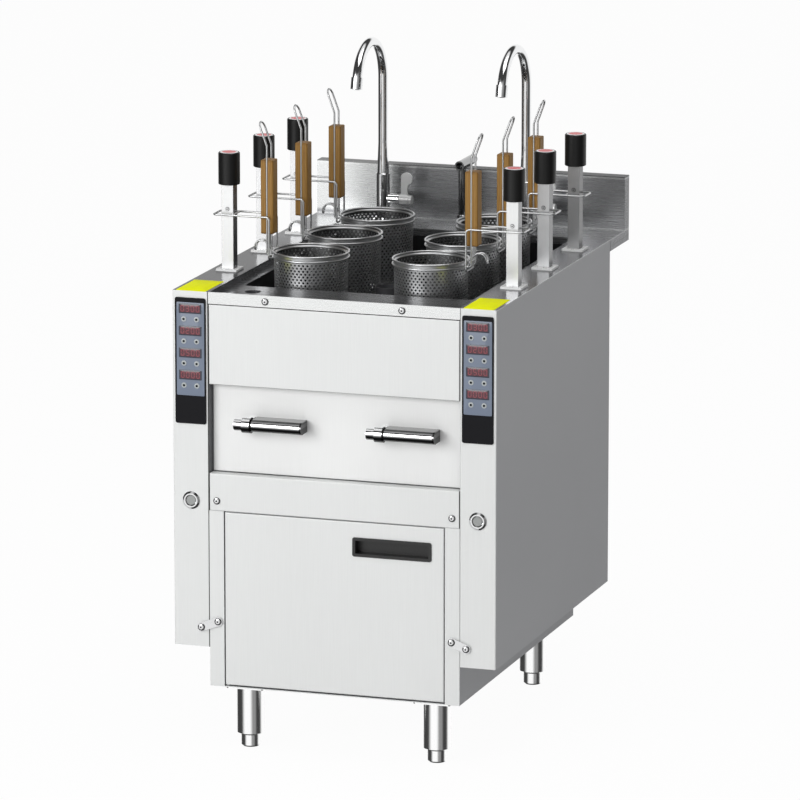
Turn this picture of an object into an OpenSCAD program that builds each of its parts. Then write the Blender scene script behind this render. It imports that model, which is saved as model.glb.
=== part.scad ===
// Six-basket pasta cooker: an open tank between two side columns, whose electric lifts
// raise a wire bracket and a strainer each. The front faces -Y and the floor is z = 0.

/* [Body] */
// Overall width across both side columns
unit_w = 600; // [590:5:640]
// Width of one side column
column_w = 67; // [66:1:72]
// Depth of the body from its front face to its back panel
body_d = 697; // [695:1:740]
// How far the worktop runs on behind the back panel
rear_overhang = 121; // [110:1:140]
// Height of the worktop above the floor
deck_z = 829; // [820:1:860]
// Height of the underside of the side columns
column_z = 185; // [170:1:200]
// Height of the underside of the cabinet
cabinet_z = 114; // [105:1:125]
// Thickness of the stainless sheet
sheet_t = 1.5; // [1.2:0.1:1.8]
// Height of the folded edges of the worktop
skirt_h = 22; // [18:1:26]
// Depth by which the spill tray round the tank lies below the worktop
tray_drop = 12; // [8:1:14]
// Height of the backsplash above the worktop
splash_h = 100; // [80:1:120]
// Thickness of the backsplash
splash_t = 28; // [20:1:34]

/* [Front] */
// Height of the drawer front's lower edge
drawer_z = 502.3; // [500:0.1:506]
// Height of the drawer front's upper edge
drawer_top_z = 663; // [655:1:670]
// Depth by which the drawer front lies behind the other panels
drawer_recess = 18; // [12:1:20]
// Height of the cross rail's lower edge
rail_z = 434.6; // [430:0.1:440]
// Width of the frame stile on each side of the door
stile_w = 27; // [24:1:30]
// How far the drawer pulls stand out from the front face
pull_proj = 22; // [20:1:24]
// Distance of each drawer pull from the middle
pull_x = 123; // [110:1:130]
// Diameter of the bezel round a start button
bezel_d = 32; // [30:1:34]

/* [Lifts and strainers] */
// Distance between the lift posts of one column
station_pitch = 187.5; // [180:0.5:190]
// Distance of the first lift post behind the front face
first_station_y = 208; // [206:1:214]
// Width of the square lift post
post_w = 22; // [20:1:24]
// Length of post that shows below its cap when lowered
post_show = 156; // [150:1:170]
// Lifting stroke
lift_travel = 110; // [80:5:120]
// Diameter of the round cap on a post
cap_d = 39; // [36:1:42]
// Height of the cap
cap_h = 58; // [50:1:62]
// Distance from a post to the middle of its strainer
strainer_u = 154; // [152:1:156]
// Diameter of the strainer over its rim
rim_d = 140; // [136:1:142]
// Height of the rim above the worktop when lowered
rim_up = 45; // [40:1:50]
// Depth of the strainer
strainer_h = 150; // [130:5:155]
// Radius of the bracket and handle wires
wire_r = 1.75; // [1.5:0.05:1.75]
// Height of the bracket's arms above the worktop
arm_up = 103; // [96:1:104]
// Length of the wooden grip
grip_l = 134; // [120:1:140]

/* [Water] */
// Depth of the tank below the spill tray
tank_h = 177; // [150:1:180]
// Height of the top of a tap's spout above the worktop
spout_up = 357; // [340:1:370]
// Reach of a tap's spout
spout_reach = 156; // [140:1:160]
// Radius of a tap's spout tube
spout_r = 9; // [8:0.5:10]

/* [Legs] */
// Diameter of a leg tube
leg_d = 50; // [45:1:55]
// Distance of the legs from the middle
leg_x = 175; // [165:1:185]
// Distance by which the four legs stand to the right of the middle
leg_shift = 5; // [0:1:8]
// Height of the levelling foot below the leg tube
foot_h = 26; // [16:1:30]

/* [Hidden] */
$fn = 48;

SIDES = ["left", "right"];
ROWS = [0, 1, 2];
STATION_PARTS = ["lift_post", "post_cap", "basket_bracket", "strainer", "grip"];
function station_node(part, side, row) = str(part, "_", SIDES[side], "_", row + 1);

half_w = unit_w / 2;
inner = half_w - column_w;
deck_d = body_d + rear_overhang;
front_y = pull_proj - (deck_d + pull_proj) / 2;
tray_z = deck_z - tray_drop;
back_y = body_d - 5;

// Tank opening in the spill tray
open_x = inner - 20;
open_y0 = 133;
open_r = 10;
tank_top = tray_z - sheet_t;
tank_z = tank_top - tank_h;

// Lift station, measured from the post's axis at worktop height, u towards the strainer
post_x = half_w - column_w / 2;
post_below = lift_travel + 60;
post_wall = 2.5;
guide_gap = 0.3;
guide_h = 45;
rod_r = 6;
gland_drop = 15;
rod_l = gland_drop + lift_travel + 30;
arm_v = 21.5;
outer_u = 23;
seat_u = 82.5;
seat_up = rim_up - 14 - 2 * wire_r - 0.3;
handle_u = 75.5;
handle_v = 12;
grip_up = rim_up + 26;
grip_w = 24;
grip_d = 26;
loop_lean = 20;
cup_t = 1;
rim_r = 2;
cup_top_r = rim_d / 2 - 3.4;
ring_r = rim_d / 2 - rim_r;
ring_drop = 14;
bead_r = wire_r + 0.25;
cup_foot_r = cup_top_r - 3;
cup_corner_r = 14;

// Door
door_half = inner - stile_w - 2;
door_top = rail_z - 1.6;
door_foot = cabinet_z + 4;
door_t = 20;
hinge_x = -door_half + 3.6;
hinge_y = 3.6;
hinge_r = 2;
running = 0.05;

// Drawer box and its runners
box_half = 205;
box_l = 400;
box_z = 512;
box_top = 598;
shelf_z = drawer_z - 3.3;
pull_axis_y = 8;

// Control modules, start buttons, latches
module_w = 57.5;
module_h = 227;
module_top = deck_z - 12;
module_x = half_w - column_w / 2 - 0.5;
window_pitch = 39.8;
button_z = 451;
button_r = 9;
latch_r = 8;
left_pivot = [-216.5, 233];
left_catch = [-248, 221];
right_pivot = [246, 219];
right_catch = [219, 229];

// Taps, refill pipe and drains
tap_x = [-155, 123];
tap_y = body_d + 48;
tap_body_h = 91;
barrel_z = deck_z + 43;
barrel_l = 33;
refill = [4, body_d + 33];
overflow_y = 302;
drain_y = 600;
spill_hole = [-179, 85];
spill_r = 14.5;
run_z = 618;
run_r = 11;
valve_z = 380;
outlet_r = 17.5;
inlet_r = 10.5;
refill_r = 5;
riser_r = 7;

// Block between two corners given as x, y and z limits
module block(x0, x1, y0, y1, z0, z1) {
    translate([x0, y0, z0]) cube([x1 - x0, y1 - y0, z1 - z0]);
}

// Shift from the front face at y = 0 to the frame's origin under the middle
module in_frame() {
    translate([0, front_y, 0]) children();
}

module mirrored() {
    children();
    mirror([1, 0, 0]) children();
}

// Rectangle with four round corners, lower left corner at the origin
module round_rect(w, h, r) {
    translate([r, 0]) square([w - 2 * r, h]);
    translate([0, r]) square([w, h - 2 * r]);
    for (x = [r, w - r], y = [r, h - r]) translate([x, y]) circle(r = r);
}

// Rectangle whose two corners on the side of the x axis are round
module rolled_rect(w, h, r) {
    translate([r, 0]) square([w - 2 * r, h]);
    translate([0, r]) square([w, h - r]);
    for (x = [r, w - r]) translate([x, r]) circle(r = r);
}

// Folded sheet panel that faces -Y, with rolled edges and an open back
module folded_panel(x0, x1, y0, z0, z1, depth, r = 2) {
    difference() {
        intersection() {
            translate([x0, y0, z0]) linear_extrude(z1 - z0) rolled_rect(x1 - x0, depth, r);
            translate([x0, y0, z0]) rotate([90, 0, 90]) linear_extrude(x1 - x0)
                mirror([1, -1, 0]) rolled_rect(z1 - z0, depth, r);
        }
        block(x0 + sheet_t, x1 - sheet_t, y0 + sheet_t, y0 + depth + 1, z0 + sheet_t, z1 - sheet_t);
    }
}

// Straight round wire between two points
module wire(a, b, r = wire_r) {
    v = b - a;
    translate(a) rotate([0, acos(v.z / norm(v)), atan2(v.y, v.x)]) cylinder(h = norm(v), r = r);
}

// Round bend of a wire in the XY plane, from angle a0 on through the angle turn
module bend(ring_r, a0, turn, r = wire_r) {
    rotate([0, 0, a0]) rotate_extrude(angle = turn) translate([ring_r, 0]) circle(r = r);
}

// Cylinder that points along +Y from its base
module along_y(p, r, l) {
    translate(p) rotate([-90, 0, 0]) cylinder(h = l, r = r);
}

// Cylinder that points along +X from its base
module along_x(p, r, l) {
    translate(p) rotate([0, 90, 0]) cylinder(h = l, r = r);
}

// Places a part drawn at the post's axis, with its strainer towards +X; the right side is turned
module at_station(side, row) {
    in_frame() translate([(2 * side - 1) * post_x, first_station_y + row * station_pitch, deck_z])
        rotate([0, 0, 180 * side]) children();
}

// Fixed bodywork

module column() {
    difference() {
        translate([inner, 0, column_z]) linear_extrude(deck_z - column_z)
            round_rect(column_w, body_d, 2.5);
        block(inner + sheet_t, half_w - sheet_t, sheet_t, body_d - sheet_t,
            column_z + sheet_t, deck_z - sheet_t);
        block(module_x - 25, module_x + 25, -1, 5, module_top - module_h + 5, module_top - 5);
        along_y([post_x, -1, button_z], 11.5, 5);
        for (row = ROWS) translate([post_x, first_station_y + row * station_pitch, deck_z - 3])
            translate([-15.2, -15.2, 0]) cube([30.4, 30.4, 6]);
    }
}

module left_column() in_frame() color("gainsboro") mirror([1, 0, 0]) column();
module right_column() in_frame() color("gainsboro") column();

// Outline of the tank opening, grown by g all round
module tank_outline(g = 0) {
    translate([-open_x - g, open_y0 - g])
        round_rect(2 * (open_x + g), back_y - open_y0 + 2 * g, open_r + g);
}

module backsplash() {
    y0 = deck_d - splash_t;
    difference() {
        block(-half_w, half_w, y0, deck_d, deck_z - sheet_t, deck_z + splash_h);
        block(-half_w + sheet_t, half_w - sheet_t, y0 + sheet_t, deck_d - sheet_t,
            deck_z, deck_z + splash_h - sheet_t);
        block(-half_w + 14, half_w - 14, deck_d - 5, deck_d + 1, deck_z + 12, deck_z + splash_h - 12);
    }
}

module worktop() in_frame() color("silver") {
    difference() {
        union() {
            // front lip and its hem
            block(-inner, inner, 0, sheet_t, deck_z - skirt_h + 0.7, deck_z);
            block(-inner, inner, 0, 4, deck_z - sheet_t, deck_z);
            // spill tray with upstands at the front, at the sides and at the back
            block(-inner, inner, 2, back_y + sheet_t, tray_z - sheet_t, tray_z);
            block(-inner, inner, 2.5, 4, tray_z - sheet_t, deck_z);
            mirrored() block(inner - sheet_t, inner, 2.5, back_y + sheet_t, tray_z - sheet_t, deck_z);
            block(-inner, inner, back_y, back_y + sheet_t, tray_z - sheet_t, deck_z);
            // rear deck and its skirt
            block(-inner, inner, back_y, body_d + 1, deck_z - sheet_t, deck_z);
            block(-half_w, half_w, body_d, deck_d, deck_z - sheet_t, deck_z);
            mirrored() block(half_w - sheet_t, half_w, body_d, deck_d, deck_z - skirt_h, deck_z);
            block(-half_w, half_w, deck_d - sheet_t, deck_d, deck_z - skirt_h, deck_z);
            backsplash();
        }
        translate([0, 0, tray_z - 3]) linear_extrude(6) tank_outline();
        translate([spill_hole.x, spill_hole.y, tray_z - 3]) cylinder(h = 6, r = spill_r);
        for (x = tap_x) translate([x, tap_y, deck_z - 3]) cylinder(h = 6, r = 11);
        translate([refill.x, refill.y, deck_z - 3]) cylinder(h = 6, r = 4.5);
    }
}

module tank() in_frame() color("dimgray") {
    difference() {
        union() {
            translate([0, 0, tank_z - sheet_t]) linear_extrude(tank_h + sheet_t) tank_outline(sheet_t);
            translate([0, 0, tank_top - sheet_t]) linear_extrude(sheet_t) intersection() {
                tank_outline(14);
                translate([-inner, 0]) square([2 * inner, back_y + sheet_t]);
            }
        }
        translate([0, 0, tank_z]) linear_extrude(tank_h + 1) tank_outline();
        translate([0, overflow_y, tank_z - 3]) cylinder(h = 6, r = run_r);
        translate([0, drain_y, tank_z - 3]) cylinder(h = 6, r = 16);
        for (x = heater_x, s = [-1, 1])
            along_y([x + s * heater_half, open_y0 - 5, heater_z], heater_r + 0.2, 10);
    }
}

heater_x = [-125, 0, 125];
heater_half = 32;
heater_r = 5;
heater_z = tank_z + 25;
heater_l = 430;

module heating_elements() in_frame() color("slategray") for (x = heater_x) {
    for (s = [-1, 1]) along_y([x + s * heater_half, open_y0 - 26, heater_z], heater_r, heater_l + 26);
    translate([x, open_y0 + heater_l, heater_z]) bend(heater_half, 0, 180, heater_r);
    // clamping plates on both sides of the tank wall, and the terminal cover
    for (y = [open_y0 - sheet_t - 3, open_y0])
        block(x - heater_half - 14, x + heater_half + 14, y, y + 3, heater_z - 14, heater_z + 14);
    block(x - heater_half - 10, x + heater_half + 10, open_y0 - 30, open_y0 - sheet_t - 3,
        heater_z - 11, heater_z + 11);
}

module front_panels() in_frame() color("whitesmoke") {
    folded_panel(-inner + 0.6, inner - 0.6, 0, drawer_top_z, deck_z - skirt_h + 0.4, 20);
    // hanging flange and side tabs behind the upper panel
    block(-inner + 12, inner - 12, 8, 8 + sheet_t, deck_z - skirt_h - 1, tray_z - sheet_t);
    mirrored() block(inner - 2, inner, 10, 18, drawer_top_z + 12, deck_z - skirt_h - 12);
    difference() {
        folded_panel(-inner + 0.6, inner - 0.6, 0, rail_z, drawer_z, 18.5);
        block(-inner, inner, sheet_t, 30, rail_z - 1, rail_z + sheet_t);
    }
}

// Cabinet shell, front frame, shelf under the drawer, runners and door pivots
module cabinet() in_frame() color("gainsboro") {
    top = tank_top - sheet_t - 0.3;
    difference() {
        union() {
            mirrored() {
                block(inner - sheet_t, inner, sheet_t, body_d, cabinet_z, column_z);
                block(inner - sheet_t, inner - 0.2, 20, body_d, column_z, top);
                block(inner - stile_w, inner, 0, sheet_t, cabinet_z, rail_z);
                block(inner - stile_w, inner - stile_w + sheet_t, 0, 20, cabinet_z, rail_z);
                block(inner - stile_w, inner, 18.5, 20, cabinet_z, shelf_z + sheet_t);
                // drawer runner: a C-shaped rail screwed to the side wall
                runner();
            }
            block(-inner, inner, body_d - sheet_t, body_d, cabinet_z, top);
            block(-inner, inner, 0, body_d, cabinet_z, cabinet_z + sheet_t);
            block(-inner + 0.2, inner - 0.2, 18.5, body_d, shelf_z, shelf_z + sheet_t);
            block(-inner + sheet_t, inner - sheet_t, sheet_t, 20, rail_z, rail_z + sheet_t);
            mirrored() block(inner - stile_w, inner - sheet_t, sheet_t, 4, rail_z - 1.5, rail_z + 0.5);
            block(-inner + sheet_t, inner - sheet_t, 18.5, 20, rail_z, shelf_z + sheet_t);
            translate([hinge_x, hinge_y, cabinet_z]) cylinder(h = 14, r = hinge_r);
            translate([hinge_x, hinge_y, door_top - 9]) cylinder(h = 12, r = hinge_r);
            // cable gland in the back panel
            along_y([-150, body_d - sheet_t, 170], 14, 12);
            along_y([-150, body_d - sheet_t, 170], 10, 22);
        }
        along_y([-150, body_d - 5, 170], 6, 40);
        for (z = [cabinet_z, shelf_z]) translate([0, drain_y, z - 3]) cylinder(h = 8, r = 20);
    }
}

module runner() {
    z0 = box_z + 30;
    difference() {
        block(box_half + 10, inner - sheet_t, 40, 40 + box_l, z0, z0 + 32);
        block(box_half + 9, box_half + 22, 39, 41 + box_l, z0 + 4, z0 + 28);
    }
}

module at_legs() {
    for (x = [-leg_x, leg_x], y = [38, body_d - 82]) translate([x + leg_shift, y, 0]) children();
}

module leg_tubes() in_frame() color("silver") at_legs() difference() {
    union() {
        translate([0, 0, foot_h]) cylinder(h = cabinet_z - foot_h, d = leg_d);
        translate([-35, -35, cabinet_z - 3]) linear_extrude(3) round_rect(70, 70, 6);
    }
    translate([0, 0, foot_h + 10]) cylinder(h = cabinet_z - foot_h - 13, d = leg_d - 4);
    translate([0, 0, foot_h - 1]) cylinder(h = 20, r = 10);
}

module levelling_feet() in_frame() color("silver") at_legs() {
    rotate_extrude() polygon([[0, 0], [14.5, 0], [17.5, 3], [17.5, foot_h - 4], [15, foot_h], [0, foot_h]]);
    cylinder(h = foot_h + 45, r = 10);
}

// Door and its recessed pull

recess_x = 34.8;
recess_w = 146.5;
recess_z = 371;
recess_h = 34.5;
recess_wall = 2.5;
recess_depth = 16;

module door() in_frame() color("whitesmoke") difference() {
    union() {
        folded_panel(-door_half, door_half, 0, door_foot, door_top, door_t);
        // hinge blocks at the two pivots
        for (z = [door_foot, door_top - 16]) block(-door_half + 1, -door_half + 14, 1, 14, z, z + 16);
        // stiffening channel inside
        block(-15, 15, 1, 12, door_foot + 1, door_top - 1);
    }
    translate([hinge_x, hinge_y, door_foot - 1]) cylinder(h = 12, r = hinge_r + running);
    translate([hinge_x, hinge_y, door_top - 11]) cylinder(h = 12, r = hinge_r + running);
    block(recess_x + 3, recess_x + recess_w - 3, -1, 5, recess_z + 3, recess_z + recess_h - 3);
}

// Recessed pull: a frame on the face, and a cup whose top runs up behind the frame
module door_pull() in_frame() color("black") difference() {
    union() {
        translate([recess_x, 0, recess_z]) rotate([90, 0, 0]) linear_extrude(2)
            round_rect(recess_w, recess_h, 4);
        block(recess_x + 3, recess_x + recess_w - 3, 0, recess_depth + recess_wall,
            recess_z + 3, recess_z + recess_h - 3);
    }
    block(recess_x + 3 + recess_wall, recess_x + recess_w - 3 - recess_wall, -3, recess_depth,
        recess_z + 3 + recess_wall, recess_z + recess_h - 3 - recess_wall);
}

// Drawer with the electrical gear

module drawer() in_frame() color("whitesmoke") {
    z0 = drawer_z + 1.2;
    z1 = drawer_top_z - 1.4;
    folded_panel(-inner + 1.9, inner - 1.9, drawer_recess, z0, z1, 20);
    y0 = drawer_recess + 1;
    difference() {
        block(-box_half, box_half, y0, y0 + box_l, box_z, box_top);
        block(-box_half + sheet_t, box_half - sheet_t, y0 + sheet_t, y0 + box_l - sheet_t,
            box_z + sheet_t, box_top + 1);
    }
    // slide members that run in the C-shaped rails
    mirrored() {
        block(box_half, box_half + 8, y0 + 20, y0 + box_l, box_z + 36, box_z + 56);
        block(box_half + 8, box_half + 19, y0 + box_l - 120, y0 + box_l, box_z + 37, box_z + 55);
    }
}

// Pull: stub, collar and round bar, with a top plate and an end plate back to the drawer front,
// open below for the fingers
module pull() {
    r = 11;
    back = drawer_recess + pull_axis_y;
    difference() {
        union() {
            along_x([-58, 0, 0], r - 0.5, 17);
            along_x([-42.5, 0, 0], pull_proj - pull_axis_y, 16);
            along_x([-28, 0, 0], r - 1.5, 4);
            along_x([-25, 0, 0], r, 93);
            translate([-25, 0, r - 2.4]) cube([93, back, 2]);
            translate([65, 0, -r + 0.4]) cube([3, back, 2 * r - 0.8]);
            translate([-41.5, 0, -10]) cube([14, back, 20]);
        }
        along_x([-59, 0, 0], r - 4, 12);
    }
}

module drawer_pulls() in_frame() color("silver")
    for (x = [-pull_x, pull_x]) translate([x, -pull_axis_y, 596]) pull();

module drawer_electrics() in_frame() {
    z0 = box_z + sheet_t;
    color("lightgray") block(-190, 190, 60, 390, z0, z0 + 2);
    color("silver") for (y = [120, 300]) block(-180, 180, y, y + 35, z0 + 2, z0 + 9);
    // contactors, relays and the terminal row
    color("dimgray") for (x = [-160, -100, -40]) {
        block(x, x + 45, 112, 164, z0 + 9, z0 + 66);
        block(x + 5, x + 40, 122, 154, z0 + 66, z0 + 74);
    }
    color("black") for (x = [40, 80, 120]) block(x, x + 28, 115, 160, z0 + 9, z0 + 60);
    color("beige") for (i = [0:11]) block(-165 + i * 27, -145 + i * 27, 296, 339, z0 + 9, z0 + 44);
}

// Controls

module at_modules() {
    for (s = [-1, 1]) translate([s * module_x, 0, module_top]) children();
}

module control_modules() in_frame() at_modules() {
    color("black") {
        translate([-module_w / 2, 0, -module_h]) rotate([90, 0, 0]) linear_extrude(2)
            round_rect(module_w, module_h, 4);
        block(-24, 24, 0, 28, -module_h + 6, -6);
    }
    for (i = [0:3]) {
        color("darkred") block(-20.5, 20.5, -2.6, -2, -27.7 - i * window_pitch, -11.3 - i * window_pitch);
        for (s = [-1, 1]) color("lightsteelblue")
            translate([s * 12, -2, -38.6 - i * window_pitch]) rotate([90, 0, 0]) cylinder(h = 0.8, r = 4.8);
    }
}

// Bezel, threaded barrel and nut of a push button
module button_bezels() in_frame() color("silver") for (s = [-1, 1])
    translate([s * post_x, 0, button_z]) rotate([90, 0, 0]) rotate_extrude() {
        polygon([[button_r + 0.4, 0], [bezel_d / 2, 0], [bezel_d / 2, 1.2], [bezel_d / 2 - 3.4, 4],
            [button_r + 1.4, 4], [button_r + 0.4, 3.2]]);
        translate([button_r + 0.4, -30]) square([1.9, 30]);
        translate([button_r + 2, -6.5]) square([5, 5]);
    }

module start_button() {
    rotate([90, 0, 0]) rotate_extrude()
        polygon([[0, -20], [button_r, -20], [button_r, 2], [button_r - 1, 3], [0, 3]]);
}

module left_start_button() in_frame() color("gainsboro")
    translate([-post_x, 0, button_z]) start_button();
module right_start_button() in_frame() color("gainsboro")
    translate([post_x, 0, button_z]) start_button();

// Swing latches and the screws on the front

latch_back = -1.3;
latch_t = 2;

// Pill-shaped link from its pivot to the notch that drops over the catch screw;
// the notch widens towards the pivot, because it leaves the screw along an arc
module latch(pivot, catch) {
    v = catch - pivot;
    l = norm(v);
    translate([pivot.x, latch_back, pivot.y]) rotate([90, 0, 0]) rotate([0, 0, atan2(v.y, v.x)])
        linear_extrude(latch_t) difference() {
            union() {
                circle(r = latch_r);
                translate([0, -latch_r]) square([l, 2 * latch_r]);
                translate([l, 0]) circle(r = latch_r);
            }
            circle(r = 3 + running);
            translate([l, 0]) circle(r = 3);
            polygon([[l - 3, 0], [l + 3, 0], [l + 3, latch_r + 2], [l - 4.8, latch_r + 2]]);
        }
}

module left_latch() in_frame() color("silver") latch(left_pivot, left_catch);
module right_latch() in_frame() color("silver") latch(right_pivot, right_catch);

// Pan-head screw that stands on the front face, with a shank under its head
module face_screw(p, head_r, gap) {
    translate([p.x, 0, p.y]) rotate([90, 0, 0]) {
        if (gap > 0) cylinder(h = gap, r = 2.5);
        translate([0, 0, gap]) rotate_extrude() difference() {
            polygon([[0, 0], [head_r, 0], [head_r, 0.8], [head_r - 1.1, 2.2], [head_r - 2.8, 3], [0, 3.2]]);
            translate([0, 1.6]) square([1.8, 2]);
        }
    }
}

module front_screws() in_frame() color("silver") {
    for (x = [-126.5, 126.5]) face_screw([x, deck_z - 11], 6.5, 0);
    for (x = [-218.7, 218.7]) face_screw([x, rail_z + 18], 6.5, 0);
    for (p = [left_catch, right_catch]) face_screw(p, 6.5, 3.6);
    for (p = [left_pivot, right_pivot]) {
        face_screw(p, 6.5, 3.6);
        translate([p.x, 0, p.y]) rotate([90, 0, 0]) {
            cylinder(h = 1, r = 6);
            cylinder(h = 4, r = 3);
        }
    }
}

// Taps, refill pipe and drains

module deck_water_fittings() in_frame() color("silver") {
    for (x = tap_x) translate([x, tap_y, deck_z]) {
        difference() {
            union() {
                rotate_extrude() polygon([[0, 0], [23, 0], [23, 2], [17, 6], [12.8, 9],
                    [12.8, tap_body_h - 1], [12, tap_body_h], [0, tap_body_h]]);
                translate([0, 0, 43]) rotate([0, 90, 0]) cylinder(h = barrel_l, r1 = 8, r2 = 10.4);
                along_x([0, 0, 43], 6, barrel_l + 18);
                // neck, nut and threaded tail below the worktop
                translate([0, 0, -14]) cylinder(h = 15, r = 9.8);
                translate([0, 0, -sheet_t - 9]) cylinder(h = 9, r = 17);
                translate([0, 0, -60]) cylinder(h = 46, r = inlet_r);
            }
            translate([0, 0, tap_body_h - 26]) cylinder(h = 30, r = spout_r + running);
        }
    }
    translate([refill.x, refill.y, deck_z]) difference() {
        union() {
            rotate_extrude() polygon([[0, 0], [13, 0], [13, 2], [9.5, 5], [9.5, 22], [riser_r, 24],
                [riser_r, 115], [0, 115]]);
            translate([0, 0, -10]) cylinder(h = 11, r = 4);
            translate([0, 0, -sheet_t - 5]) cylinder(h = 5, r = 9);
            translate([0, 0, -31.5]) cylinder(h = 25, r = refill_r);
            along_y([0, -17, 117.5], 9, 83);
        }
        along_y([0, -18, 117.5], 6.3, 60);
    }
}

// Spout: flared foot, straight tube, arch over the tank, and a nozzle collar along its end
module spout(side) in_frame() color("silver") translate([tap_x[side], tap_y, 0]) {
    end = 15;
    nozzle_l = 20;
    arch_r = (spout_reach - nozzle_l * sin(end)) / (1 + cos(end));
    arch_z = deck_z + spout_up - spout_r - arch_r;
    foot = deck_z + tap_body_h - 24;
    translate([0, 0, foot]) cylinder(h = arch_z - foot, r = spout_r);
    translate([0, 0, deck_z + tap_body_h + 0.3]) cylinder(h = 62, r1 = 11.3, r2 = spout_r - 0.2);
    translate([0, -arch_r, arch_z]) {
        rotate([90, 0, 90]) bend(arch_r, 0, 180 - end, spout_r);
        rotate([-end, 0, 0]) translate([0, -arch_r, 0]) difference() {
            translate([0, 0, -nozzle_l]) cylinder(h = nozzle_l + 2, r = spout_r + 2);
            translate([0, 0, -nozzle_l - 1]) cylinder(h = nozzle_l - 3, r = spout_r - 2);
        }
    }
}

module left_tap_spout() spout(0);
module right_tap_spout() spout(1);

// Lever: a hub over the barrel's spindle and a flat paddle, straight on one edge, that stands up from it
module tap_lever(side) in_frame() color("silver")
    translate([tap_x[side] + barrel_l, tap_y, barrel_z]) difference() {
        union() {
            along_x([0.4, 0, 0], 9.5, 16.4);
            along_x([16, 0, 0], 8, 8);
            translate([9, 2, 0]) rotate([90, 0, 0]) linear_extrude(4) {
                polygon([[-6.5, 0], [6, 0], [6, 22], [8.5, 30], [15.6, 39], [-6.5, 39]]);
                translate([4, 39]) intersection() {
                    circle(r = 11.6);
                    translate([-10.5, -12]) square([22.1, 24]);
                }
            }
        }
        along_x([-1, 0, 0], 6 + running, 20);
    }

module left_tap_lever() tap_lever(0);
module right_tap_lever() tap_lever(1);

// Overflow, spill drain and tank drain, joined to one outlet with a ball valve
module drain_bores(g) {
    translate([0, overflow_y, run_z]) cylinder(h = tank_top - 35 - run_z, r = run_r - g);
    along_y([0, spill_hole.y, run_z], run_r - g, drain_y - spill_hole.y);
    along_x([spill_hole.x, spill_hole.y, run_z], run_r - g, -spill_hole.x);
    translate([0, drain_y, cabinet_z - 34 - g]) cylinder(h = tank_z - cabinet_z + 34 + g, r = 15.8 - g);
}

module drain_pipes() in_frame() color("lightslategray") {
    difference() {
        union() {
            drain_bores(0);
            translate([0, drain_y, tank_z - 12]) cylinder(h = 12 - sheet_t, r = 24);
            translate([0, drain_y, cabinet_z - 34]) cylinder(h = 30, r = outlet_r);
            translate([spill_hole.x, spill_hole.y, run_z]) cylinder(h = tank_top - run_z, r = spill_r + 1);
            for (p = [[spill_hole.x, spill_hole.y], [0, spill_hole.y]])
                translate([p.x, p.y, run_z]) sphere(r = run_r);
            translate([0, drain_y, valve_z - 30]) cylinder(h = 60, r = 25);
            translate([0, overflow_y, tank_top - 40]) cylinder(h = 22, r = 22);
            along_y([0, drain_y - 40, valve_z], 8, 20);
            along_y([0, drain_y - 58, valve_z], 5, 20);
        }
        drain_bores(2);
        translate([spill_hole.x, spill_hole.y, run_z]) cylinder(h = 400, r = spill_r - 1);
        translate([0, overflow_y, tank_top - 38]) cylinder(h = 40, r = 20.5);
    }
}

module drain_valve_lever() in_frame() color("firebrick") translate([0, drain_y, valve_z]) difference() {
    union() {
        along_y([0, -55, 0], 10, 14);
        rotate([90, 0, 0]) translate([0, 0, 48]) linear_extrude(5) {
            translate([0, -7]) square([85, 14]);
            translate([85, 0]) circle(r = 7);
        }
    }
    along_y([0, -60, 0], 5 + running, 30);
}

// Lift drives and guides

module lift_actuators() in_frame() for (side = [-1, 1], row = ROWS)
    translate([side * post_x, first_station_y + row * station_pitch, deck_z]) {
        top = -post_below - gland_drop;
        color("silver") difference() {
            union() {
                translate([0, 0, top - rod_l - 5]) cylinder(h = rod_l + 5, r = 14);
                translate([-18, -12, top - rod_l - 5]) cube([36, 24, 3]);
            }
            translate([0, 0, top - rod_l]) cylinder(h = rod_l - 15, r = rod_r + 3);
            translate([0, 0, top - 16]) cylinder(h = 20, r = rod_r + running);
        }
        // gearbox, motor and the foot that carries them on the column wall
        color("dimgray") {
            translate([-24, -24, top - rod_l - 45]) cube([48, 48, 40]);
            translate([0, 0, top - rod_l - 145]) cylinder(h = 100, r = 22);
        }
        color("silver") translate([-column_w / 2 + sheet_t, -20, top - rod_l - 35])
            cube([column_w - 2 * sheet_t, 40, 5]);
    }

module post_guides() in_frame() color("white") for (side = [-1, 1], row = ROWS)
    translate([side * post_x, first_station_y + row * station_pitch, deck_z]) difference() {
        hole = post_w + 2 * guide_gap;
        union() {
            translate([-20, -20, 0]) linear_extrude(3.5) round_rect(40, 40, 2);
            translate([-15, -15, -guide_h]) cube([30, 30, guide_h]);
        }
        translate([-hole / 2, -hole / 2, -guide_h - 1]) cube([hole, hole, guide_h + 6]);
    }

// Lift stations

module lift_post(side, row) at_station(side, row) color("silver") {
    difference() {
        translate([-post_w / 2, -post_w / 2, -post_below])
            cube([post_w, post_w, post_below + post_show + 38]);
        translate([-post_w / 2 + post_wall, -post_w / 2 + post_wall, -post_below + 14])
            cube([post_w - 2 * post_wall, post_w - 2 * post_wall, post_below + post_show + 30]);
    }
    translate([0, 0, -post_below - rod_l]) cylinder(h = rod_l + 1, r = rod_r);
    // screw on the post's front face
    mirror([0, side, 0]) along_y([0, -post_w / 2 - 1.6, arm_up + 9], 3.5, 2);
}

module post_cap(side, row) at_station(side, row) color("black") difference() {
    translate([0, 0, post_show]) rotate_extrude() polygon([[0, 0], [cap_d / 2 - 1, 0], [cap_d / 2, 1],
        [cap_d / 2, cap_h - 1.5], [cap_d / 2 - 1.5, cap_h], [cap_d / 2 - 2.5, cap_h],
        [cap_d / 2 - 2.5, cap_h - 0.8], [0, cap_h - 0.8]]);
    translate([-post_w / 2, -post_w / 2, post_show - 1]) cube([post_w, post_w, 39]);
}

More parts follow.
